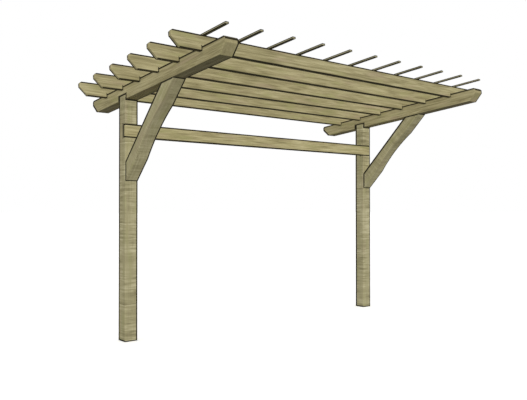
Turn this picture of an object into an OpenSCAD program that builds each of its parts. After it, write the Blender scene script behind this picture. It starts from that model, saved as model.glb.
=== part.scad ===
// Cantilevered timber pergola: two posts carry sloping beams, notched rafters and top battens.
// The origin is the centre of the left post's foot. X runs along the rafters, and the front is -Y.

/* [Posts] */
// Side of the square posts, also the thickness of the beams and braces that lie flush with them
post_w = 150; // [100:1:200]
// Distance between the two posts, centre to centre
post_spacing = 3850; // [2400:10:5400]
// Height of the beams' underside above the ground, at the front faces of the posts
head_height = 2640; // [2200:10:3200]

/* [Beams] */
// Depth of the beams, square to their slope
beam_d = 150; // [130:1:200]
// Rise of the beams towards the front, in degrees
slope = 5; // [0:0.5:10]
// Reach of the beams in front of the posts, along the slope
beam_front = 1845; // [1500:5:2400]
// Reach of the beams behind the front faces of the posts, along the slope
beam_back = 815; // [600:5:1200]
// Depth of the notch in each beam that sits over its post
post_seat = 45; // [20:1:60]

/* [Shaped ends] */
// Size of the diagonal cut below the ends of beams and rafters
end_cut = 90; // [40:1:100]
// Size of the small cut above the ends of beams and rafters
end_clip = 20; // [5:1:25]

/* [Braces] */
// Depth of the braces, square to their length
brace_d = 150; // [100:1:180]
// Angle of the braces above level, in degrees
brace_angle = 45; // [40:1:60]
// Height of the beams' underside above the braces' feet, at the front faces of the posts
brace_drop = 895; // [700:5:1200]
// Length of the shallow arch cut into the underside of each brace
arch_len = 720; // [300:10:800]
// Rise of the arch cut into the underside of each brace
arch_rise = 30; // [10:1:45]

/* [Rail] */
// Depth of the rail that joins the posts
rail_d = 150; // [90:1:200]
// Thickness of the rail, also the depth of its housings in the posts
rail_t = 45; // [25:1:75]
// Height of the beams' underside above the top of the rail, at the front faces of the posts
rail_drop = 270; // [150:5:400]

/* [Rafters] */
// Number of rafters
rafter_count = 6; // [3:1:9]
// Depth of the rafters
rafter_d = 150; // [130:1:200]
// Thickness of the rafters
rafter_t = 45; // [30:1:75]
// Depth of the notches in the rafters that sit over the beams
rafter_seat = 45; // [20:1:60]
// Overhang of the rafters past the outer faces of the beams
rafter_over = 330; // [150:5:600]
// Distance from the ends of the beams to the outer faces of the first and last rafters
rafter_setback = 345; // [150:5:500]

/* [Battens] */
// Number of battens
batten_count = 11; // [5:1:15]
// Width of the battens
batten_w = 38; // [25:1:60]
// Thickness of the battens
batten_t = 19; // [15:1:40]
// Distance from the outer faces of the beams to the outer sides of the first and last battens
batten_setback = 13; // [0:1:60]

/* [Fits] */
// Gap left at the sides of every notch and housing
fit_gap = 0.5; // [0.2:0.1:2]

/* [Hidden] */
$fn = 96;
timber_colour = "#a39a6d";
batten_colour = "#a59d75";

// Faces of the posts and beams
post_front = -post_w / 2;
post_back = post_w / 2;
outer_left = -post_w / 2;
outer_right = post_spacing + post_w / 2;
side_lefts = [outer_left, outer_right - post_w];

// Levels square to the slope, counted from the beams' underside
rafter_foot = beam_d - rafter_seat;
rafter_top = rafter_foot + rafter_d;

// Spacings of the two roof layers
beam_length = beam_front + beam_back;
rafter_pitch = (beam_length - 2 * rafter_setback - rafter_t) / (rafter_count - 1);
batten_pitch = (outer_right - outer_left - 2 * batten_setback - batten_w) / (batten_count - 1);

// Rail level
rail_foot = head_height - rail_drop - rail_d;

// Brace corners: reaches are measured forwards from the post's front face
brace_rise = tan(brace_angle);
brace_foot = head_height - brace_drop;
brace_heel = brace_foot + brace_d / cos(brace_angle);
low_reach = (head_height - brace_foot) / (brace_rise - tan(slope));
high_reach = (head_height - brace_heel) / (brace_rise - tan(slope));
arch_r = (pow(arch_len / 2, 2) + pow(arch_rise, 2)) / (2 * arch_rise);

// Height of the post's sloping top, which is the seat of the beam, at a place along Y
function seat_z(y) = head_height + post_seat / cos(slope) - (y - post_front) * tan(slope);

// Turns a side view drawn in Y and Z into a solid as thick as the posts, from x towards the right
module side_piece(x) {
    translate([x, 0, 0])
        rotate([90, 0, 90])
            linear_extrude(post_w)
                children();
}

// Frame of the roof: X as before, Y backwards down the slope, Z square to it from the beams' underside
module on_slope() {
    translate([0, post_front, head_height])
        rotate([-slope, 0, 0])
            children();
}

// Side view of a straight timber whose two ends are cut to the common end shape
module shaped_timber(from, to, depth) {
    polygon([
        [from + end_cut, 0],
        [to - end_cut, 0],
        [to, end_cut],
        [to, depth - end_clip],
        [to - end_clip, depth],
        [from + end_clip, depth],
        [from, depth - end_clip],
        [from, end_cut]
    ]);
}

// Side view of a post up to the sloping seat of its beam, widened by a gap at the front and back
module post_outline(gap = 0) {
    polygon([
        [post_front - gap, 0],
        [post_back + gap, 0],
        [post_back + gap, seat_z(post_back + gap)],
        [post_front - gap, seat_z(post_front - gap)]
    ]);
}

// Square post with a sloping top and a housing for the rail across its front face
module post(x) {
    color(timber_colour)
        side_piece(x)
            difference() {
                post_outline();
                translate([post_front, rail_foot - fit_gap])
                    square([rail_t, rail_d + 2 * fit_gap]);
            }
}

// Sloping beam with shaped ends, notched over the head of its post
module beam(x) {
    color(timber_colour)
        side_piece(x)
            difference() {
                translate([post_front, head_height])
                    rotate(-slope)
                        shaped_timber(-beam_front, beam_back, beam_d);
                post_outline(fit_gap);
            }
}

// Diagonal brace from the post's front face to the beam's underside, with an arched lower edge
module brace(x) {
    color(timber_colour)
        side_piece(x)
            difference() {
                polygon([
                    [post_front, brace_foot],
                    [post_front, brace_heel],
                    [post_front - high_reach, brace_heel + high_reach * brace_rise],
                    [post_front - low_reach, brace_foot + low_reach * brace_rise]
                ]);
                translate([post_front - low_reach / 2, brace_foot + low_reach * brace_rise / 2])
                    rotate(-brace_angle)
                        translate([0, arch_rise - arch_r])
                            circle(arch_r);
            }
}

// Level rail let flush into the front faces of both posts
module rail() {
    color(timber_colour)
        translate([outer_left, post_front, rail_foot])
            cube([outer_right - outer_left, rail_t, rail_d]);
}

// Rafter with shaped ends, notched over both beams
module rafter(i) {
    back_face = -beam_front + rafter_setback + (i - 1) * rafter_pitch + rafter_t;
    color(timber_colour)
        on_slope()
            translate([0, back_face, rafter_foot])
                rotate([90, 0, 0])
                    linear_extrude(rafter_t)
                        difference() {
                            shaped_timber(outer_left - rafter_over, outer_right + rafter_over, rafter_d);
                            for (x = side_lefts)
                                translate([x - fit_gap, 0])
                                    square([post_w + 2 * fit_gap, rafter_seat]);
                        }
}

// Batten laid on the rafters along the slope
module batten(i) {
    color(batten_colour)
        on_slope()
            translate([outer_left + batten_setback + (i - 1) * batten_pitch, -beam_front, rafter_top])
                cube([batten_w, beam_length, batten_t]);
}

post(side_lefts[0]);  // left_post
post(side_lefts[1]);  // right_post
beam(side_lefts[0]);  // left_beam
beam(side_lefts[1]);  // right_beam
brace(side_lefts[0]);  // left_brace
brace(side_lefts[1]);  // right_brace
rail();
for (i = [1 : rafter_count])
    rafter(i);
for (i = [1 : batten_count])
    batten(i);
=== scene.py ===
"""Looks of a cantilevered timber pergola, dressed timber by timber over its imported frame.

Every timber is shaped lying on a bench, where X runs along its length, Y through its thickness and
Z up its depth. It is jointed and eased there, gets its grain, and is then turned into its place.
Lengths are in metres, colours are linear.
"""

import logging
import math
import random
from dataclasses import dataclass, replace
from enum import Enum
from functools import cached_property
from typing import Callable, ClassVar, Optional, Union

import bmesh
import bpy
from mathutils import Matrix, Vector
from mathutils.geometry import intersect_point_line


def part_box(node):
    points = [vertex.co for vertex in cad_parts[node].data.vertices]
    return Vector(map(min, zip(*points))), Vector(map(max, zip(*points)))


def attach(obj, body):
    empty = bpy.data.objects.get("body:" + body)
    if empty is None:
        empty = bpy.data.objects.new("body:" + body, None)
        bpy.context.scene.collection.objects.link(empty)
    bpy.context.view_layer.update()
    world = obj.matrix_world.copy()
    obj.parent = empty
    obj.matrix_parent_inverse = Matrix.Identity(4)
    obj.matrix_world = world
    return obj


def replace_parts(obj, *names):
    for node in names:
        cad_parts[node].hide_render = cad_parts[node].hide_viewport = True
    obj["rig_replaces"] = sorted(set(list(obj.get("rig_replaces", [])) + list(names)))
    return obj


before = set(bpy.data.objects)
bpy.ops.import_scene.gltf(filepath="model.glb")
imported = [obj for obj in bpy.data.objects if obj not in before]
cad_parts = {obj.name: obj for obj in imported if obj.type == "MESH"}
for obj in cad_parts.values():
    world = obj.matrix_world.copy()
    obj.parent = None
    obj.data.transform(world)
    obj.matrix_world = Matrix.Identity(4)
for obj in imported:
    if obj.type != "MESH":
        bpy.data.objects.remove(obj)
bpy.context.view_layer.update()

Triple = tuple[float, float, float]
Names = tuple[str, ...]
Pair = tuple[Vector, Vector]
Piece = bpy.types.Object
Tree = bpy.types.NodeTree
Socket = bpy.types.NodeSocket
Input = Union[float, tuple, Socket]
Marks = dict[str, Socket]

LOG = logging.getLogger("pergola")
X_AXIS = Vector((1.0, 0.0, 0.0))
Z_AXIS = Vector((0.0, 0.0, 1.0))
UNMOVED = (0.0, 0.0, 0.0)
WHITE = (1.0, 1.0, 1.0, 1.0)

# Angles between faces: over which an edge is sharp, over which it is shaded sharp, and of a flat sheet.
SHARP = math.radians(25.0)
SMOOTH = math.radians(40.0)
FLAT = math.radians(0.1)

# Distances within which points are the same, a face lies in a strip, and an edge lies on a side.
SAME = 0.0001
SNUG = 0.00005
NEAR = 0.005

# Shares of a direction along an axis: when it runs that way, when a face looks that way or slants.
SQUARE = 0.9
FACING = 0.8
SLANT = 0.6

# How strongly the painted shade and joint lines along the edges are drawn. Weaker lines are narrower.
BOLD = 3.0
OUTLINE = 1.9
SLIM = 0.55
FAINT = 0.32
CLEAN = 0.0

# Largest share of a face's shortest side for a strip, and how many strips a line runs on past its edge.
ROOM = 0.46
OVERRUN = 1.5

# Range of places along the log from which the timbers are sawn.
LOG_PLACES = (2.0, 40.0)


class Slot(Enum):
    """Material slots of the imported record."""

    POST = "post_timber"
    ROOF = "roof_timber"
    BATTEN = "batten_timber"


@dataclass(frozen=True)
class Joinery:
    """Sizes that the timbers and their joints share. A timber's are length, depth and thickness."""

    beam: Triple = (2.660, 0.150, 0.150)
    brace: Triple = (1.500, 0.150, 0.150)
    rail: Triple = (4.000, 0.150, 0.045)
    rafter: Triple = (4.660, 0.150, 0.045)
    batten: Triple = (2.660, 0.019, 0.038)
    slope: float = math.radians(5.0)
    post_seat: float = 0.045
    rafter_seat: float = 0.045
    end_cut: float = 0.090
    end_clip: float = 0.020
    end_reach: float = 0.100
    gap: float = 0.0005

    @property
    def along(self) -> Vector:
        """Direction down the slope, towards the back."""
        return Vector((0.0, math.cos(self.slope), -math.sin(self.slope)))

    @property
    def up(self) -> Vector:
        """Direction square to the slope, upwards."""
        return Vector((0.0, math.sin(self.slope), math.cos(self.slope)))

    @cached_property
    def beam_front(self) -> Vector:
        """Finds where the beams' underside would meet their front ends.

        Returns:
            The point on the plane x = 0.
        """
        low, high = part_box("batten_1")
        drop = self.beam[1] - self.rafter_seat + self.rafter[1] + self.batten[1] / 2.0
        corner = (low + high - self.along * self.batten[0]) / 2.0 - self.up * drop
        return Vector((0.0, corner.y, corner.z))


JOINERY = Joinery()


@dataclass(frozen=True)
class Arris:
    """Easing of a timber's edges: rounding, and the reach of the painted shade and joint lines on its
    sides and elsewhere.
    """

    radius: float
    band: float
    side_band: float
    segments: int = 3


@dataclass(frozen=True)
class Edge:
    """An edge of a timber on the bench, seen as part of one of the two faces beside it."""

    middle: Vector
    way: Vector
    normal: Vector

    @classmethod
    def between(cls, start: Vector, end: Vector, normal: Vector) -> "Edge":
        """Makes an edge from its two ends and the normal of the face."""
        return cls((start + end) / 2.0, (end - start).normalized(), normal)

    @property
    def lengthwise(self) -> bool:
        """Whether the edge runs along the timber."""
        return abs(self.way.x) > SQUARE

    @property
    def on_side(self) -> bool:
        """Whether the face is one of the timber's two sides."""
        return abs(self.normal.y) > SQUARE

    @property
    def outline(self) -> float:
        """Strength of a long edge that is drawn in full: bold on the sides of the timber."""
        return BOLD if self.on_side else OUTLINE


EdgeRule = Callable[[Edge], float]


def pick(piece: Piece) -> None:
    """Selects one object alone and makes it the active one.

    Args:
        piece: The object.
    """
    bpy.ops.object.select_all(action="DESELECT")
    piece.select_set(True)
    bpy.context.view_layer.objects.active = piece


def edge_gap(point: Vector, ends: Pair, spare: float) -> float:
    """Measures the distance from a point to an edge that is drawn out at both ends.

    Args:
        point: The point.
        ends: Both ends of the edge.
        spare: How far it is drawn out.

    Returns:
        The shortest distance.
    """
    start, end = ends
    share = intersect_point_line(point, start, end)[1]
    more = spare / (end - start).length
    return (point - start.lerp(end, min(max(share, -more), 1.0 + more))).length


def bounds_face(edge: bmesh.types.BMEdge) -> bool:
    """Tells whether an edge parts two faces for the eye, as sharp edges and seams do."""
    return edge.seam or edge.calc_face_angle(0.0) > SHARP


class Bench:
    """Edit-mode tools for the timber that is open inside a with block."""

    def __init__(self, timber: Piece) -> None:
        """Takes the timber to work on."""
        self.timber = timber

    def __enter__(self) -> "Bench":
        """Opens the timber in edit mode.

        Returns:
            The bench itself.
        """
        pick(self.timber)
        bpy.ops.object.mode_set(mode="EDIT")
        bpy.ops.mesh.select_mode(type="FACE")
        return self

    def __exit__(self, *problem: object) -> None:
        """Closes the timber again, after a problem too."""
        bpy.ops.object.mode_set(mode="OBJECT")

    @property
    def mesh(self) -> bmesh.types.BMesh:
        """The live mesh of the open timber."""
        return bmesh.from_edit_mesh(self.timber.data)

    def update(self) -> None:
        """Shows Blender what was changed in the live mesh."""
        bmesh.update_edit_mesh(self.timber.data)

    def saw(self, point: tuple, normal: tuple, waste: bool = True) -> None:
        """Cuts through the whole timber.

        Args:
            point: A point on the cut.
            normal: Direction square to the cut, towards the waste.
            waste: Whether the waste is dropped.
        """
        bpy.ops.mesh.select_all(action="SELECT")
        bpy.ops.mesh.bisect(plane_co=point, plane_no=normal, clear_outer=waste)

    def score(self, axis: Vector, *places: float) -> None:
        """Marks lines across the whole timber, square to an axis, without taking anything off."""
        for place in places:
            self.saw(axis * place, axis, waste=False)

    def knock_out(self, waste: Callable[[Vector], bool]) -> None:
        """Removes the scored faces that lie in the waste, and heals the other scored lines.

        Args:
            waste: Tells whether a face's middle lies in the waste.
        """
        self.select(lambda face: waste(face.calc_center_median()))
        bpy.ops.mesh.delete(type="FACE")
        self.heal()

    def heal(self) -> None:
        """Joins the flat faces of the sheet into one."""
        bpy.ops.mesh.select_all(action="SELECT")
        bpy.ops.mesh.dissolve_limited(angle_limit=FLAT)

    def select(self, wanted: Callable[[bmesh.types.BMFace], bool]) -> None:
        """Selects the wanted faces and no others.

        Args:
            wanted: Tells whether a face is to be selected.
        """
        bpy.ops.mesh.select_all(action="DESELECT")
        for face in self.mesh.faces:
            face.select_set(bool(wanted(face)))
        self.update()

    def select_numbered(self, layer: str, number: int) -> None:
        """Selects the faces that bear a number in a layer."""
        numbers = self.mesh.faces.layers.int[layer]
        self.select(lambda face: face[numbers] == number)

    def lift_point(self, x: float, height: float) -> None:
        """Lifts the point of the sheet's lower edge at a place along it.

        Args:
            x: Place along the timber.
            height: How far the point goes up.
        """
        bpy.ops.mesh.select_mode(type="VERT")
        bpy.ops.mesh.select_all(action="DESELECT")
        mesh = self.mesh
        for vert in mesh.verts:
            if abs(vert.co.x - x) < SAME and abs(vert.co.z) < SAME:
                vert.select_set(True)
        mesh.select_flush_mode()
        self.update()
        bpy.ops.transform.translate(value=(0.0, 0.0, height))

    def turn_outward(self) -> None:
        """Turns every face outward."""
        bpy.ops.mesh.select_all(action="SELECT")
        bpy.ops.mesh.normals_make_consistent(inside=False)

    def thicken(self, thickness: float) -> None:
        """Draws the sheet out to its thickness.

        Args:
            thickness: How far it goes along Y.
        """
        bpy.ops.mesh.select_mode(type="FACE")
        bpy.ops.mesh.select_all(action="SELECT")
        bpy.ops.mesh.extrude_region_move(TRANSFORM_OT_translate={"value": (0.0, thickness, 0.0)})
        self.turn_outward()

    def mark_seam(self, place: float) -> None:
        """Marks a line across the upper faces, where another timber abuts.

        Args:
            place: Place of the line along the timber.
        """
        self.select(lambda face: face.normal.z > SQUARE)
        bpy.ops.mesh.bisect(plane_co=X_AXIS * place, plane_no=X_AXIS)
        bpy.ops.mesh.mark_seam(clear=False)

    def list_crisp_edges(self) -> list[Pair]:
        """Lists both ends of each sharp edge and seam."""
        edges = [edge for edge in self.mesh.edges if bounds_face(edge)]
        return [(edge.verts[0].co.copy(), edge.verts[1].co.copy()) for edge in edges]

    def number_regions(self) -> int:
        """Numbers the smooth regions between the sharp edges and seams.

        Returns:
            How many regions there are. Their numbers start at 1.
        """
        mesh = self.mesh
        region = mesh.faces.layers.int.new("region")
        count = 0
        for seed in mesh.faces:
            if seed[region]:
                continue
            count += 1
            seed[region] = count
            waiting = [seed]
            while waiting:
                inner = [edge for edge in waiting.pop().edges if not bounds_face(edge)]
                for other in (face for edge in inner for face in edge.link_faces):
                    if not other[region]:
                        other[region] = count
                        waiting.append(other)
        self.update()
        return count

    def list_corner_cuts(self, line: EdgeRule) -> list[tuple[int, Vector, Vector]]:
        """Finds the strips whose corners are to be cut, so that a stronger line can run on to the edge.

        Args:
            line: Says how dark an edge is.

        Returns:
            The number of each strip, with a point on the cut and the direction square to it.
        """
        mesh = self.mesh
        region = mesh.faces.layers.int["region"]
        strip = mesh.faces.layers.int.new("strip")
        outer = {}
        for number, face in enumerate(mesh.faces, 1):
            face[strip] = number
            for edge in face.edges:
                if any(other[region] != face[region] for other in edge.link_faces):
                    outer[number] = edge
        cuts = []
        for edge in mesh.edges:
            pair = [face for face in edge.link_faces if face[strip] in outer]
            if len(pair) < 2 or pair[0][region] != pair[1][region]:
                continue
            normal = pair[0].normal
            ends = [[vert.co for vert in outer[face[strip]].verts] for face in pair]
            sides = [Edge.between(start, end, normal) for start, end in ends]
            dark = [line(side) for side in sides]
            if dark[0] == dark[1]:
                continue
            weak = dark.index(min(dark))
            number = pair[weak][strip]
            inner = next(vert for vert in edge.verts if vert not in outer[number].verts)
            cuts.append((number, inner.co.copy(), normal.cross(sides[1 - weak].way)))
        self.update()
        return cuts

    def frame_faces(self, arris: Arris, line: EdgeRule) -> list[float]:
        """Frames every region with narrow strips, as wide as wanted where there is room.

        Args:
            arris: How far the strips reach.
            line: Says how dark an edge is.

        Returns:
            The width of the strips in each numbered region.
        """
        widths = [0.0]
        for number in range(1, self.number_regions() + 1):
            self.select_numbered("region", number)
            faces = [face for face in self.mesh.faces if face.select]
            width = arris.side_band if abs(faces[0].normal.y) > SQUARE else arris.band
            if len(faces) == 1 and len(faces[0].verts) == 4:
                width = min(width, ROOM * min(edge.calc_length() for edge in faces[0].edges))
            bpy.ops.mesh.inset(thickness=width, depth=0.0)
            widths.append(width)
        for number, point, normal in self.list_corner_cuts(line):
            self.select_numbered("strip", number)
            bpy.ops.mesh.bisect(plane_co=point, plane_no=normal)
        return widths

    def round_edges(self, arris: Arris) -> None:
        """Rounds every sharp edge.

        Args:
            arris: How far the rounding reaches.
        """
        bpy.ops.mesh.select_mode(type="EDGE")
        bpy.ops.mesh.select_all(action="DESELECT")
        bpy.ops.mesh.edges_select_sharp(sharpness=SHARP)
        bpy.ops.mesh.bevel(offset=arris.radius, segments=arris.segments, clamp_overlap=True)
        self.turn_outward()


@dataclass
class Timber:
    """One kind of timber, shaped once and copied to every node that it stands for.

    Its size is length, depth and thickness, and its axes are where length and depth run in the frame.
    """

    stands: ClassVar[Names]
    size: ClassVar[Triple]
    axes: ClassVar[Pair]
    arris: Arris
    slot: Slot
    finish: bpy.types.Material
    pith: float

    def origin(self, node: str) -> Vector:
        """Finds where the bench's origin goes, for a timber in the middle of its node's box.

        Args:
            node: The node that the timber stands for.

        Returns:
            A point of the frame.
        """
        low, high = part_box(node)
        x_axis, z_axis = self.axes
        return (low + high - x_axis * self.size[0] - z_axis * self.size[1]) / 2.0

    def line(self, edge: Edge) -> float:
        """Says how strongly an edge's painted shade and joint line is drawn where nothing else weakens it.
        """
        raise NotImplementedError

    def cut(self, bench: Bench) -> None:
        """Cuts the ends and joints of the open sheet. A plain timber has none."""

    def mark(self, bench: Bench) -> None:
        """Marks lines on the open timber's faces. Most timbers have none."""

    @cached_property
    def turn(self) -> Matrix:
        """Rotation from the bench to the frame."""
        x_axis, z_axis = self.axes
        return Matrix((x_axis, z_axis.cross(x_axis), z_axis)).transposed()

    def drawn_line(self, edge: Edge) -> float:
        """Says how strongly an edge's painted shade and joint line is drawn: slim at most on the back,
        right and top faces.
        """
        strength = self.line(edge)
        return min(strength, SLIM) if max(self.turn @ edge.normal) > FACING else strength

    def shape_ends(self, bench: Bench) -> None:
        """Saws both ends of the open sheet to the common end shape.

        Args:
            bench: The bench with the sheet.
        """
        length, depth, _ = self.size
        ends = ((0.0, -1.0), (length, 1.0))
        for x, way in ends:
            bench.saw((x, 0.0, JOINERY.end_cut), (way, 0.0, -1.0))
        for x, way in ends:
            bench.saw((x - way * JOINERY.end_clip, 0.0, depth), (way, 0.0, 1.0))

    def shape(self) -> Piece:
        """Lays out the side view of the timber as one flat face, cuts it and makes it solid.

        Returns:
            The timber with crisp edges, from the origin on and centred on Y.
        """
        length, depth, thickness = self.size
        bpy.ops.object.select_all(action="DESELECT")
        bpy.ops.mesh.primitive_plane_add(
            size=1.0,
            location=(length / 2.0, -thickness / 2.0, depth / 2.0),
            rotation=(math.pi / 2.0, 0.0, 0.0),
        )
        timber = bpy.context.object
        timber.scale = (length, depth, 1.0)
        bpy.ops.object.transform_apply(location=True, rotation=True, scale=True)
        with Bench(timber) as bench:
            self.cut(bench)
            bench.thicken(thickness)
            self.mark(bench)
        return timber

    def ease(self, timber: Piece) -> None:
        """Frames every face with narrow strips, rounds the edges and stores the painted shade and joint
        lines of the edges.

        Args:
            timber: The timber with crisp edges.
        """
        with Bench(timber) as bench:
            edges = bench.list_crisp_edges()
            widths = bench.frame_faces(self.arris, self.drawn_line)
            bench.round_edges(self.arris)
        attributes = timber.data.attributes
        reaches = [widths[item.value] for item in attributes["region"].data]
        for layer in ("region", "strip"):
            attributes.remove(attributes[layer])
        bpy.ops.object.shade_smooth_by_angle(angle=SMOOTH)
        self.mark_edges(timber, edges, reaches)

    def mark_edges(self, timber: Piece, edges: list[Pair], reaches: list[float]) -> None:
        """Stores how dark each corner of each face is painted by the shade and joint lines, from the edges
        whose lines hold the whole face.

        Args:
            timber: The eased timber on the bench.
            edges: Ends of the sharp edges before easing.
            reaches: Width of the strips on each face.
        """
        values = [0.0] * len(timber.data.loops)
        for face, band in zip(timber.data.polygons, reaches):
            points = [timber.data.vertices[index].co for index in face.vertices]
            for ends in edges:
                gaps = [edge_gap(point, ends, OVERRUN * band) for point in points]
                if max(gaps) > band + SNUG:
                    continue
                strength = self.drawn_line(Edge.between(*ends, face.normal))
                for loop, gap in zip(face.loop_indices, gaps):
                    fade = min(max((band - gap) / (band - self.arris.radius), 0.0), 1.0)
                    values[loop] = max(values[loop], strength * fade)
        # arris: how strongly each corner is darkened by the painted shade and joint lines
        layer = timber.data.attributes.new("arris", "FLOAT", "CORNER")
        layer.data.foreach_set("value", values)

    def mark_ends(self, timber: Piece) -> None:
        """Stores how squarely each point's faces cut across the grain.

        Args:
            timber: The eased timber on the bench.
        """
        shares = [[] for _ in timber.data.vertices]
        for face in timber.data.polygons:
            for index in face.vertices:
                shares[index].append(face.normal.x ** 2)
        layer = timber.data.attributes.new("end_grain", "FLOAT", "POINT")
        layer.data.foreach_set("value", [sum(share) / max(len(share), 1) for share in shares])

    def mark_grain(self, timber: Piece, seed: str) -> None:
        """Stores each point's place in the log that the timber was sawn from.

        Args:
            timber: A copy of the timber, still on the bench.
            seed: Text that settles where in the log the copy lies.
        """
        dice = random.Random(seed)
        turn = dice.uniform(0.0, math.tau)
        place = dice.uniform(*LOG_PLACES)
        shift = Vector((place, self.pith * math.cos(turn), self.pith * math.sin(turn)))
        corners = [Vector(corner) for corner in timber.bound_box]
        middle = sum(corners, Vector()) / len(corners)
        middle.x = 0.0
        layer = timber.data.attributes.new("grain", "FLOAT_VECTOR", "POINT")
        for vert, item in zip(timber.data.vertices, layer.data):
            item.vector = vert.co - middle + shift

    def place_copy(self, master: Piece, node: str) -> Piece:
        """Copies the timber with a mesh of its own, dresses the copy and turns it into its place.

        Args:
            master: The eased timber on the bench.
            node: The node of the frame that the copy stands for.

        Returns:
            The finished piece.
        """
        pick(master)
        bpy.ops.object.duplicate(linked=False)
        piece = bpy.context.object
        piece.name = node + "_timber"
        piece.data.name = piece.name
        self.mark_grain(piece, node + " log 10")
        piece.matrix_world = Matrix.Translation(self.origin(node)) @ self.turn.to_4x4()
        bpy.ops.object.transform_apply(location=True, rotation=True, scale=True)
        piece.data.materials.append(self.finish)
        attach(piece, "root")
        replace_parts(piece, node)
        return piece

    def build(self) -> list[Piece]:
        """Shapes the timber and sets a dressed copy in each of its places.

        Returns:
            The finished pieces.
        """
        master = self.shape()
        self.ease(master)
        self.mark_ends(master)
        made = [self.place_copy(master, node) for node in self.stands]
        bpy.data.meshes.remove(master.data)
        return made


class Post(Timber):
    """Square post with a sloping head and a housing for the rail across its front."""

    stands = ("left_post", "right_post")
    axes = (Z_AXIS, Vector((0.0, -1.0, 0.0)))

    @cached_property
    def size(self) -> Triple:
        """Height and both widths, as the post lies on its back with its foot at X = 0."""
        low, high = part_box(self.stands[0])
        return high.z - low.z, high.x - low.x, high.x - low.x

    @cached_property
    def head(self) -> float:
        """Height above the foot where the beam's underside meets the front face."""
        return self.size[0] - JOINERY.post_seat / math.cos(JOINERY.slope)

    def cut(self, bench: Bench) -> None:
        """Slopes the head and cuts the rail's housing.

        Args:
            bench: The bench with the sheet.
        """
        length, width, _ = self.size
        slope = JOINERY.slope
        low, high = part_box("rail")
        start = low.z - JOINERY.gap
        end = high.z + JOINERY.gap
        floor = width - (high.y - low.y)
        bench.saw((length, 0.0, width), (math.cos(slope), 0.0, -math.sin(slope)))
        bench.score(X_AXIS, start, end)
        bench.score(Z_AXIS, floor)
        bench.knock_out(lambda middle: start < middle.x < end and middle.z > floor)

    def mark(self, bench: Bench) -> None:
        """Marks the seam under the beam on the front face."""
        bench.mark_seam(self.head)

    def line(self, edge: Edge) -> float:
        """Draws the back and right edges, the seam under the beam, the rail's housing and the foot.

        Args:
            edge: The edge and its face.

        Returns:
            A strength, CLEAN for none.
        """
        middle = edge.middle
        if edge.lengthwise and middle.z > self.size[1] - NEAR:
            return CLEAN if middle.y > 0.0 else edge.outline
        if edge.lengthwise and middle.z < NEAR:
            return edge.outline
        if abs(middle.x - self.head) < NEAR:
            return OUTLINE
        housed = edge.lengthwise and edge.normal.y > SQUARE
        return SLIM if middle.x < NEAR or housed else CLEAN


class Beam(Timber):
    """Sloping beam with shaped ends, notched over the head of its post."""

    stands = ("left_beam", "right_beam")
    size = JOINERY.beam
    axes = (JOINERY.along, JOINERY.up)

    def origin(self, node: str) -> Vector:
        """Finds the lower front corner of the beam's full section."""
        low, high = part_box(node)
        return JOINERY.beam_front + X_AXIS * ((low.x + high.x) / 2.0)

    @cached_property
    def notch(self) -> tuple[float, float]:
        """Finds how far the notch's walls lie behind the beam's front corner.

        Returns:
            The distances of the front and the back wall, on the level.
        """
        low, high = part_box("left_post")
        front = JOINERY.beam_front
        return low.y - JOINERY.gap - front.y, high.y + JOINERY.gap - front.y

    def cut(self, bench: Bench) -> None:
        """Shapes both ends and cuts the notch over the post.

        Args:
            bench: The bench with the sheet.
        """
        near, far = self.notch
        seat = JOINERY.post_seat
        lean = Vector((math.cos(JOINERY.slope), 0.0, math.sin(JOINERY.slope)))
        self.shape_ends(bench)
        bench.score(lean, near, far)
        bench.score(Z_AXIS, seat)
        bench.knock_out(lambda middle: near < middle.dot(lean) < far and middle.z < seat)

    def line(self, edge: Edge) -> float:
        """Draws every edge but the lower left one and most of those round the front end.

        Args:
            edge: The edge and its face.

        Returns:
            A strength, CLEAN for none.
        """
        middle = edge.middle
        length, depth, _ = self.size
        left = middle.y > NEAR
        if middle.x < JOINERY.end_reach:
            if edge.normal.z > SLANT and not left:
                return BOLD
            if middle.x < NEAR and middle.z > JOINERY.end_cut + NEAR and abs(edge.way.y) > SQUARE:
                return SLIM
            return BOLD if middle.y < -NEAR else CLEAN
        if middle.x > length - JOINERY.end_reach:
            return BOLD if left else OUTLINE
        if middle.z > depth - NEAR:
            return SLIM if edge.on_side else OUTLINE
        if edge.lengthwise and middle.z < NEAR:
            return CLEAN if left else OUTLINE
        front_wall = abs(edge.way.z) > SQUARE and middle.x < sum(self.notch) / 2.0
        return BOLD if front_wall and edge.on_side else SLIM


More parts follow.
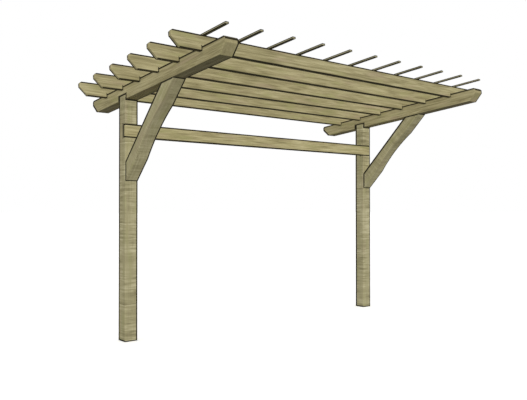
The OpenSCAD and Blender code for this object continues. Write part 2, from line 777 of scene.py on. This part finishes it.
class Brace(Timber):
    """Diagonal brace between post and beam, with a shallow arch in its lower edge."""

    stands = ("left_brace", "right_brace")
    size = JOINERY.brace
    angle = math.radians(45.0)
    axes = (
        Vector((0.0, -math.cos(angle), math.sin(angle))),
        Vector((0.0, math.sin(angle), math.cos(angle))),
    )
    arch_length = 0.720
    arch_rise = 0.030
    arch_cuts = 24

    def origin(self, node: str) -> Vector:
        """Finds the corner of the foot in the middle of the brace's thickness."""
        low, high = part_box(node)
        return Vector(((low.x + high.x) / 2.0, high.y, low.z))

    def cut(self, bench: Bench) -> None:
        """Mitres the foot and the head, and cuts the arch.

        Args:
            bench: The bench with the sheet.
        """
        low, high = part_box(self.stands[0])
        front = JOINERY.beam_front
        head = front.z - (high.y - front.y) * math.tan(JOINERY.slope)
        drop = head - low.z
        sine, cosine = math.sin(self.angle), math.cos(self.angle)
        mitre = self.angle - JOINERY.slope
        bench.saw((0.0, 0.0, 0.0), (-cosine, 0.0, sine))
        bench.saw((drop * sine, 0.0, drop * cosine), (math.sin(mitre), 0.0, math.cos(mitre)))
        self.cut_arch(bench, (high.y - low.y) / (2.0 * cosine))
        bench.heal()

    def cut_arch(self, bench: Bench, centre: float) -> None:
        """Cuts the arch into the lower edge of the open sheet.

        Args:
            bench: The bench with the sheet.
            centre: Place of the arch's crown along the brace.
        """
        half = self.arch_length / 2.0
        radius = (half ** 2 + self.arch_rise ** 2) / (2.0 * self.arch_rise)
        step = self.arch_length / self.arch_cuts
        places = [centre - half + step * number for number in range(self.arch_cuts + 1)]
        bench.score(X_AXIS, *places)
        for place in places[1:-1]:
            height = math.sqrt(radius ** 2 - (place - centre) ** 2) - (radius - self.arch_rise)
            bench.lift_point(place, height)

    def line(self, edge: Edge) -> float:
        """Draws every edge but the arched one on the left, and the head slimly.

        Args:
            edge: The edge and its face.

        Returns:
            A strength, CLEAN for none.
        """
        middle = edge.middle
        depth = self.size[1]
        if not edge.lengthwise:
            return SLIM if edge.on_side and middle.x > depth else OUTLINE
        return CLEAN if middle.z < depth - NEAR and middle.y < 0.0 else edge.outline


class Rail(Timber):
    """Level rail let into the front faces of both posts."""

    stands = ("rail",)
    size = JOINERY.rail
    axes = (X_AXIS, Z_AXIS)

    def line(self, edge: Edge) -> float:
        """Draws every edge but the upright front one at the left end.

        Args:
            edge: The edge and its face.

        Returns:
            A strength, CLEAN for none.
        """
        middle = edge.middle
        if middle.x > NEAR:
            return BOLD if middle.z > NEAR else OUTLINE
        if middle.y < -NEAR:
            return CLEAN
        return BOLD if middle.y > NEAR else OUTLINE


class Rafter(Timber):
    """Rafter on edge with shaped ends, notched over both beams."""

    stands = tuple(f"rafter_{number}" for number in range(1, 7))
    size = JOINERY.rafter
    axes = (X_AXIS, JOINERY.up)

    def cut(self, bench: Bench) -> None:
        """Shapes both ends and cuts the notches over the beams.

        Args:
            bench: The bench with the sheet.
        """
        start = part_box(self.stands[0])[0].x
        seat = JOINERY.rafter_seat
        notches = []
        for post in ("left_post", "right_post"):
            low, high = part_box(post)
            notches.append((low.x - JOINERY.gap - start, high.x + JOINERY.gap - start))
        self.shape_ends(bench)
        bench.score(X_AXIS, *notches[0], *notches[1])
        bench.score(Z_AXIS, seat)
        bench.knock_out(lambda middle: middle.z < seat and any(a < middle.x < b for a, b in notches))

    def line(self, edge: Edge) -> float:
        """Draws every edge but the seats and the front of the left end, and the lower front one less.

        Args:
            edge: The edge and its face.

        Returns:
            A strength, CLEAN for none.
        """
        middle = edge.middle
        length, depth, _ = self.size
        upper = middle.z > depth - NEAR
        front = middle.y < -NEAR
        if middle.x < JOINERY.end_reach:
            return BOLD if middle.y > NEAR or (upper and not front) else CLEAN
        if upper or middle.x > length - JOINERY.end_reach:
            return OUTLINE
        if middle.z > NEAR:
            return SLIM if abs(edge.way.z) > SQUARE else CLEAN
        # painted shade: the underside of the rafter is drawn bold
        if edge.normal.z < -SQUARE:
            return BOLD
        return FAINT if front else OUTLINE


class Batten(Timber):
    """Thin batten laid on the rafters along the slope."""

    stands = tuple(f"batten_{number}" for number in range(1, 12))
    size = JOINERY.batten
    axes = (JOINERY.along, JOINERY.up)

    def line(self, edge: Edge) -> float:
        """Draws the long edges as painted shade lines, bold underneath and less on top and low down, and
        two edges of the front end.

        Args:
            edge: The edge and its face.

        Returns:
            A strength, CLEAN for none.
        """
        middle = edge.middle
        lower = middle.z < NEAR
        # painted shade: undersides are drawn bold and tops faint
        if edge.lengthwise and abs(edge.normal.z) > SQUARE:
            return FAINT if edge.normal.z > 0.0 else BOLD
        if edge.lengthwise:
            return FAINT if lower else BOLD
        if middle.x < NEAR:
            return CLEAN if lower or middle.y > NEAR else BOLD
        return OUTLINE


class Nodes:
    """Adds and joins the nodes of one shader tree."""

    def __init__(self, tree: Tree) -> None:
        """Takes over a tree and empties it."""
        self.tree = tree
        tree.nodes.clear()

    def feed(self, target: Socket, source: Input) -> None:
        """Joins a socket to another or gives it a value.

        Args:
            target: The input socket.
            source: An output socket or a plain value.
        """
        if isinstance(source, Socket):
            self.tree.links.new(source, target)
        else:
            target.default_value = source

    def add(self, kind: str, feeds: Optional[dict] = None, **settings: object) -> bpy.types.Node:
        """Adds a node.

        Args:
            kind: Type name of the node.
            feeds: Sockets or values for its inputs, by their names or numbers.
            settings: Values of the node's own properties.

        Returns:
            The new node.
        """
        node = self.tree.nodes.new(kind)
        for key, value in settings.items():
            setattr(node, key, value)
        for key, source in (feeds or {}).items():
            self.feed(node.inputs[key], source)
        return node

    def math(self, operation: str, first: Input, second: Input, clamp: bool = False) -> Socket:
        """Adds a sum on two numbers.

        Args:
            operation: Blender's name of the sum.
            first: First number.
            second: Second number.
            clamp: Whether the result is kept between 0 and 1.

        Returns:
            The result.
        """
        feeds = {0: first, 1: second}
        return self.add("ShaderNodeMath", feeds, operation=operation, use_clamp=clamp).outputs[0]

    def times(self, first: Input, second: Input) -> Socket:
        """Multiplies two numbers."""
        return self.math("MULTIPLY", first, second)

    def range(self, value: Input, *ends: float) -> Socket:
        """Maps one range of a number to another, softly and within its ends.

        Args:
            value: The number.
            ends: Start and end of its range, then the results there if they aren't 0 and 1.

        Returns:
            The mapped number.
        """
        feeds = dict(zip(("Value", "From Min", "From Max", "To Min", "To Max"), (value, *ends)))
        settings = {"interpolation_type": "SMOOTHSTEP", "clamp": True}
        return self.add("ShaderNodeMapRange", feeds, **settings).outputs["Result"]

    def mix(self, share: Input, first: Input, second: Input) -> Socket:
        """Mixes two colours.

        Args:
            share: Share of the second colour.
            first: A colour or a socket.
            second: A colour or a socket.

        Returns:
            The mixed colour.
        """
        colours = [(*value, 1.0) if isinstance(value, tuple) else value for value in (first, second)]
        feeds = {0: share, 6: colours[0], 7: colours[1]}
        return self.add("ShaderNodeMix", feeds, data_type="RGBA", clamp_factor=True).outputs[2]


class Figure(Nodes):
    """Shader group that draws marks of the saw or the tree, or the painted shade and joint lines, from
    places in the log.
    """

    def __init__(self, name: str, *numbers: str) -> None:
        """Starts a node group with the input Grain.

        Args:
            name: Name of the group.
            numbers: Names of further inputs.
        """
        super().__init__(bpy.data.node_groups.new(name, "ShaderNodeTree"))
        self.open_socket("Grain", "INPUT", "NodeSocketVector")
        for label in numbers:
            self.open_socket(label, "INPUT")
        self.given = self.add("NodeGroupInput").outputs
        self.grain = self.given["Grain"]

    def open_socket(self, label: str, side: str, kind: str = "NodeSocketFloat") -> None:
        """Gives the group a named input or output."""
        self.tree.interface.new_socket(name=label, in_out=side, socket_type=kind)

    def close(self, **results: Socket) -> Tree:
        """Gives the group its outputs.

        Args:
            results: The socket behind each output.

        Returns:
            The finished group.
        """
        for label in results:
            self.open_socket(label, "OUTPUT")
        self.add("NodeGroupOutput", results)
        return self.tree

    def stretch(self, along: float, across: float, shift: Triple = UNMOVED) -> Socket:
        """Scales the place in the log along the grain and across it, and moves it."""
        feeds = {0: self.grain, 1: (along, across, across), 2: shift}
        return self.add("ShaderNodeVectorMath", feeds, operation="MULTIPLY_ADD").outputs[0]

    def noise(
        self, along: float, across: float, detail: float = 2.0, shift: Triple = UNMOVED
    ) -> Socket:
        """Adds a noise that is drawn out along the grain or across it.

        Args:
            along: Patches per metre along the grain.
            across: Patches per metre across it.
            detail: How many finer layers it has.
            shift: How many patches it is moved along X, Y and Z.

        Returns:
            The noise, from 0 to 1.
        """
        place = self.stretch(along, across, shift)
        feeds = {"Vector": place, "Scale": 1.0, "Detail": detail, "Roughness": 0.55}
        return self.add("ShaderNodeTexNoise", feeds).outputs["Fac"]

    def blend(self, broad: Socket, fine: Socket, share: float) -> Socket:
        """Adds a share of a fine noise to the rest of a broad one."""
        return self.math("ADD", self.times(broad, 1.0 - share), self.times(fine, share))

    def stripe(self, place: Socket, rise: tuple[float, float], fall: tuple[float, float]) -> Socket:
        """Draws a soft stripe between a rising and a falling range."""
        return self.times(self.range(place, *rise), self.range(place, *fall, 1.0, 0.0))


def growth_rings() -> Tree:
    """Makes the growth rings of the log, which run out as long figures on the faces.

    Returns:
        The group, with the outputs Ring and Fibre.
    """
    group = Figure("Growth rings")
    bent = group.stretch(along=0.9, across=2.5)
    sway = group.add("ShaderNodeTexNoise", {"Vector": bent, "Scale": 1.0, "Detail": 2.0})
    feeds = {0: sway.outputs["Color"], 1: (0.0, 0.075, 0.075), 2: group.grain}
    place = group.add("ShaderNodeVectorMath", feeds, operation="MULTIPLY_ADD").outputs[0]
    feeds = {"Vector": place, "Scale": 46.0, "Distortion": 0.6, "Detail": 1.0, "Detail Scale": 2.0}
    kind = {"wave_type": "RINGS", "rings_direction": "X", "wave_profile": "SAW"}
    wave = group.add("ShaderNodeTexWave", feeds, **kind)
    return group.close(
        Ring=group.math("POWER", wave.outputs["Fac"], 2.2),
        Fibre=group.noise(along=14.0, across=420.0, detail=3.0),
    )


def lengthwise_streaks() -> Tree:
    """Makes the lengthwise streaks and the slow changes of tone.

    Returns:
        The group, with the outputs Streak, Drift, Blush and Olive.
    """
    group = Figure("Lengthwise streaks")
    broad = group.noise(along=2.6, across=46.0, detail=4.0)
    fine = group.noise(along=5.0, across=190.0, detail=3.0)
    drift = group.noise(along=1.3, across=6.0)
    blush = group.noise(along=2.1, across=11.0, detail=1.0)
    olive = group.noise(along=2.6, across=13.0, detail=1.0, shift=(28.6, 39.0, 65.0))
    return group.close(
        Streak=group.range(group.blend(broad, fine, 0.45), 0.32, 0.68),
        Drift=group.range(drift, 0.3, 0.7),
        Blush=group.range(blush, 0.56, 0.74),
        Olive=group.range(olive, 0.54, 0.72),
    )


def saw_bands() -> Tree:
    """Makes the bands that a saw leaves across a timber, with a few paler flashes.

    Returns:
        The group, with the outputs Band and Flash.
    """
    group = Figure("Saw bands")
    broad = group.noise(along=11.0, across=2.2)
    fine = group.noise(along=58.0, across=5.0, detail=3.0)
    both = group.range(group.blend(broad, fine, 0.55), 0.30, 0.70)
    patchy = group.range(group.noise(along=2.4, across=6.0), 0.35, 0.62, 0.25, 1.0)
    band = group.times(group.math("SUBTRACT", both, 0.5), patchy)
    parts = group.add("ShaderNodeSeparateXYZ", {0: group.grain})
    sway = group.times(group.noise(along=1.2, across=7.0), 0.02)
    stroke = group.math("ADD", group.times(parts.outputs["X"], 1.13), sway)
    turn = group.math("FRACT", stroke, 0.0)
    pale = group.stripe(turn, (0.0, 0.008), (0.012, 0.020))
    under = group.stripe(turn, (0.016, 0.024), (0.030, 0.042))
    return group.close(
        Band=group.math("ADD", band, 0.5),
        Flash=group.math("SUBTRACT", pale, group.times(under, 0.8)),
    )


def knots() -> Tree:
    """Makes a few small knots, each with a darker rim drawn out along the grain.

    Returns:
        The group, with the outputs Knot and Halo.
    """
    group = Figure("Knots")
    feeds = {"Vector": group.stretch(along=3.4, across=9.0), "Scale": 1.0}
    cells = group.add("ShaderNodeTexVoronoi", feeds, feature="F1")
    chance = group.add("ShaderNodeSeparateColor", {0: cells.outputs["Color"]})
    kept = group.range(chance.outputs[0], 0.55, 0.60)
    rough = group.times(group.noise(along=30.0, across=60.0), 0.05)
    far = group.math("ADD", cells.outputs["Distance"], rough)
    return group.close(
        Knot=group.times(kept, group.range(far, 0.07, 0.13, 1.0, 0.0)),
        Halo=group.times(kept, group.range(far, 0.10, 0.30, 1.0, 0.0)),
    )


def painted_shade_and_joint_lines() -> Tree:
    """Makes the dark lines along edges and joints: painted shade along the edges and undersides of the
    timbers, and dark joints where timbers meet.

    Returns:
        The group, with the output Line.
    """
    group = Figure("Painted shade and joint lines", "Arris")
    # painted shade and joint lines: as dark as the arris attribute says, a little uneven along the grain
    uneven_strength = group.range(group.noise(along=9.0, across=60.0), 0.25, 0.65, 0.93, 1.0)
    shaped = group.range(group.given["Arris"], 0.08, 0.30)
    return group.close(Line=group.math("MULTIPLY", shaped, uneven_strength, clamp=True))


@dataclass(frozen=True)
class TimberFinish:
    """Colours of a timber, the share of each mark in its tone, and its relief."""

    name: str
    deep: Triple
    mid: Triple
    pale: Triple
    blush: Triple
    olive: Triple
    # colour of the painted shade and joint lines along the edges
    dark: Triple
    heart: Triple
    streak: float
    band: float
    flash: float
    ring: float
    drift: float
    tint: float
    knot: float
    relief: float
    fibre: float = 0.10
    end_tone: float = -0.06
    end_figure: float = 0.35
    halo: float = 0.5
    ring_height: float = 0.35
    fibre_height: float = 0.5
    height: float = 0.0012
    roughness: tuple[float, float] = (0.88, 0.70)
    gloss: float = 0.2

    def make(self, groups: list[Tree]) -> bpy.types.Material:
        """Makes the material.

        Args:
            groups: The shared shader groups.

        Returns:
            The finished material.
        """
        material = bpy.data.materials.new(self.name)
        material.use_nodes = True
        material.diffuse_color = (*self.mid, 1.0)
        nodes = Nodes(material.node_tree)
        across = nodes.add("ShaderNodeAttribute", attribute_name="end_grain").outputs["Fac"]
        # arris carries the strength of the painted shade and joint lines
        given = {
            "Grain": nodes.add("ShaderNodeAttribute", attribute_name="grain").outputs["Vector"],
            "Arris": nodes.add("ShaderNodeAttribute", attribute_name="arris").outputs["Fac"],
        }
        marks = {}
        for tree in groups:
            group = nodes.add("ShaderNodeGroup", node_tree=tree)
            for socket in group.inputs:
                nodes.feed(socket, given[socket.name])
            marks.update(group.outputs.items())
        tone = self.add_tone(nodes, marks, across)
        height = nodes.times(marks["Ring"], self.ring_height)
        for label, share in (("Fibre", self.fibre_height), ("Band", self.band)):
            height = nodes.math("ADD", height, nodes.times(marks[label], share))
        feeds = {"Strength": self.relief, "Distance": self.height, "Height": height}
        feeds = {
            "Base Color": self.add_colour(nodes, marks, tone),
            "Roughness": nodes.range(tone, 0.0, 1.0, *self.roughness),
            "Specular IOR Level": self.gloss,
            "Normal": nodes.add("ShaderNodeBump", feeds).outputs["Normal"],
        }
        shader = nodes.add("ShaderNodeBsdfPrincipled", feeds)
        nodes.add("ShaderNodeOutputMaterial", {"Surface": shader.outputs["BSDF"]})
        return material

    def add_tone(self, nodes: Nodes, marks: Marks, across: Socket) -> Socket:
        """Adds up the marks, which fade on end grain.

        Args:
            nodes: The material's nodes.
            marks: Outputs of the shared groups by name.
            across: How squarely the face cuts across the grain.

        Returns:
            The tone, from 0 for deep to 1 for pale.
        """
        tone = nodes.math("ADD", 0.5, nodes.times(across, self.end_tone))
        faced = nodes.range(across, 0.2, 0.6, 1.0, self.end_figure)
        gains = {
            "Streak": self.streak,
            "Drift": self.drift,
            "Band": self.band,
            "Ring": -self.ring,
            "Fibre": self.fibre,
        }
        for label, gain in gains.items():
            centred = nodes.times(nodes.math("SUBTRACT", marks[label], 0.5), gain)
            tone = nodes.math("ADD", tone, nodes.times(centred, faced))
        return nodes.math("ADD", tone, nodes.times(marks["Flash"], self.flash), clamp=True)

    def add_colour(self, nodes: Nodes, marks: Marks, tone: Socket) -> Socket:
        """Turns the tone into a colour and lays the tints, knots and the painted shade and joint lines of
        the edges over it.

        Args:
            nodes: The material's nodes.
            marks: Outputs of the shared groups by name.
            tone: The tone of the timber.

        Returns:
            The colour.
        """
        ramp = nodes.add("ShaderNodeValToRGB", {"Fac": tone})
        ramp.color_ramp.elements.new(0.5)
        for element, colour in zip(ramp.color_ramp.elements, (self.deep, self.mid, self.pale)):
            element.color = (*colour, 1.0)
        mixed = ramp.outputs["Color"]
        for label, share, colour in (
            ("Blush", self.tint, self.blush),
            ("Olive", self.tint, self.olive),
            ("Halo", self.knot * self.halo, self.deep),
            ("Knot", self.knot, self.heart),
        ):
            mixed = nodes.mix(nodes.times(marks[label], share), mixed, colour)
        # painted shade and joint lines laid over the colour
        return nodes.mix(marks["Line"], mixed, self.dark)


POST_FINISH = TimberFinish(
    name="Sawn post timber",
    deep=(0.228, 0.203, 0.107), mid=(0.358, 0.324, 0.180), pale=(0.505, 0.465, 0.287),
    blush=(0.372, 0.312, 0.192), olive=(0.325, 0.312, 0.146),
    dark=(0.012, 0.010, 0.004), heart=(0.150, 0.112, 0.052),
    streak=0.22, band=1.25, flash=0.40, ring=0.12, drift=0.22, tint=0.45, knot=0.45, relief=0.35,
)

BRACE_FINISH = replace(
    POST_FINISH,
    name="Sawn brace timber",
    deep=(0.240, 0.214, 0.113), mid=(0.376, 0.341, 0.190), pale=(0.525, 0.484, 0.299),
    streak=0.45, band=0.75, flash=0.15, tint=0.60,
)

ROOF_FINISH = TimberFinish(
    name="Planed roof timber",
    deep=(0.222, 0.192, 0.094), mid=(0.345, 0.302, 0.156), pale=(0.485, 0.435, 0.245),
    blush=(0.392, 0.312, 0.200), olive=(0.330, 0.318, 0.136),
    dark=(0.012, 0.009, 0.003), heart=(0.150, 0.105, 0.046),
    streak=1.00, band=0.0, flash=0.0, ring=0.16, drift=0.25, tint=0.55, knot=0.55, relief=0.30,
)

RAIL_FINISH = replace(
    ROOF_FINISH,
    name="Bright rail timber",
    deep=(0.255, 0.221, 0.108), mid=(0.397, 0.347, 0.176), pale=(0.545, 0.490, 0.275),
)

BATTEN_FINISH = replace(
    ROOF_FINISH,
    name="Sawn batten timber",
    deep=(0.235, 0.212, 0.122), mid=(0.362, 0.332, 0.200), pale=(0.500, 0.465, 0.300),
    blush=(0.385, 0.330, 0.215), olive=(0.335, 0.322, 0.170),
    dark=(0.012, 0.011, 0.007), heart=(0.150, 0.115, 0.060),
    streak=0.80, drift=0.30, tint=0.35, knot=0.0,
)


@dataclass(frozen=True)
class Viewpoint:
    """The photograph's camera, fitted to the corners of the frame."""

    place: Triple = (-3.3082, -6.3126, 1.4582)
    yaw: float = math.radians(38.917)
    pitch: float = math.radians(0.599)
    lens: float = 43.375
    shift: tuple[float, float] = (0.0169, 0.0016)

    def set_up(self) -> None:
        """Makes the camera and hands it to the scene."""
        camera = bpy.data.objects.new("Camera", bpy.data.cameras.new("Camera"))
        camera.data.lens = self.lens
        camera.data.shift_x, camera.data.shift_y = self.shift
        camera.location = self.place
        camera.rotation_euler = (math.pi / 2.0 + self.pitch, 0.0, -self.yaw)
        bpy.context.scene.collection.objects.link(camera)
        bpy.context.scene.camera = camera


@dataclass(frozen=True)
class Lamp:
    """A wide, even lamp that is far away and casts no shadow."""

    name: str
    travel: Triple
    strength: float
    width: float = math.radians(25.0)

    def set_up(self) -> None:
        """Makes the lamp."""
        data = bpy.data.lights.new(self.name, "SUN")
        data.energy = self.strength
        data.angle = self.width
        data.use_shadow = False
        lamp = bpy.data.objects.new(self.name, data)
        lamp.rotation_mode = "QUATERNION"
        lamp.rotation_quaternion = Vector(self.travel).to_track_quat("-Z", "Y")
        bpy.context.scene.collection.objects.link(lamp)


@dataclass(frozen=True)
class Studio:
    """Pale floor, even surroundings and two far lamps."""

    surroundings: float = 0.41
    floor_size: float = 300.0
    floor_bounce: float = 0.27
    floor_seen: float = 1.85
    key: Lamp = Lamp("Key", (0.5860, 0.8020, -0.1149), 2.75)
    fill: Lamp = Lamp("Fill", (-0.60, -0.78, -0.16), 2.00)

    def set_up(self) -> None:
        """Makes the floor, the surroundings and the lamps."""
        bpy.context.scene.view_settings.view_transform = "Standard"
        self.lay_floor()
        self.light_surroundings()
        self.key.set_up()
        self.fill.set_up()

    def lay_floor(self) -> None:
        """Lays a wide pale floor that looks nearly white and sends back less light than that."""
        bpy.ops.object.select_all(action="DESELECT")
        bpy.ops.mesh.primitive_plane_add(size=self.floor_size)
        floor = bpy.context.object
        floor.name = "Floor"
        material = bpy.data.materials.new("Pale floor")
        material.use_nodes = True
        nodes = Nodes(material.node_tree)
        seen = nodes.add("ShaderNodeLightPath").outputs["Is Camera Ray"]
        colour = nodes.mix(seen, (self.floor_bounce,) * 3, (self.floor_seen,) * 3)
        diffuse = nodes.add("ShaderNodeBsdfDiffuse", {"Color": colour})
        nodes.add("ShaderNodeOutputMaterial", {"Surface": diffuse.outputs["BSDF"]})
        floor.data.materials.append(material)

    def light_surroundings(self) -> None:
        """Makes the surroundings white to the eye and softer as a light."""
        world = bpy.data.worlds.new("Surroundings")
        world.use_nodes = True
        bpy.context.scene.world = world
        nodes = Nodes(world.node_tree)
        seen = nodes.add("ShaderNodeLightPath").outputs["Is Camera Ray"]
        strength = nodes.range(seen, 0.0, 1.0, self.surroundings, 1.0)
        back = nodes.add("ShaderNodeBackground", {"Color": WHITE, "Strength": strength})
        nodes.add("ShaderNodeOutputWorld", {"Surface": back.outputs["Background"]})


def report_fit(piece: Piece) -> None:
    """Logs how far a piece's box departs from the box of the node that it stands for.

    Args:
        piece: A finished piece.
    """
    low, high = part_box(piece["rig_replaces"][0])
    worst = 0.0
    for axis in range(3):
        places = [vert.co[axis] for vert in piece.data.vertices]
        worst = max(worst, abs(min(places) - low[axis]), abs(max(places) - high[axis]))
    LOG.info("%s: %d faces, box within %.2f mm", piece.name, len(piece.data.polygons), worst * 1000.0)


def main() -> None:
    """Sets up the camera and studio, then builds and reports every timber."""
    logging.basicConfig(level=logging.INFO, format="%(name)s: %(message)s")
    Viewpoint().set_up()
    Studio().set_up()
    groups = [growth_rings(), lengthwise_streaks(), saw_bands(), knots(), painted_shade_and_joint_lines()]
    planed = ROOF_FINISH.make(groups)
    square = Arris(radius=0.002, band=0.017, side_band=0.026)
    board = Arris(radius=0.003, band=0.0185, side_band=0.016)
    lath = Arris(radius=0.001, band=0.0175, side_band=0.009)
    for timber in (
        Post(square, Slot.POST, POST_FINISH.make(groups), pith=0.02),
        Brace(square, Slot.POST, BRACE_FINISH.make(groups), pith=0.03),
        Beam(square, Slot.ROOF, planed, pith=0.03),
        Rail(board, Slot.ROOF, RAIL_FINISH.make(groups), pith=0.08),
        Rafter(board, Slot.ROOF, planed, pith=0.08),
        Batten(lath, Slot.BATTEN, BATTEN_FINISH.make(groups), pith=0.06),
    ):
        for piece in timber.build():
            report_fit(piece)


if __name__ == "__main__":
    main()
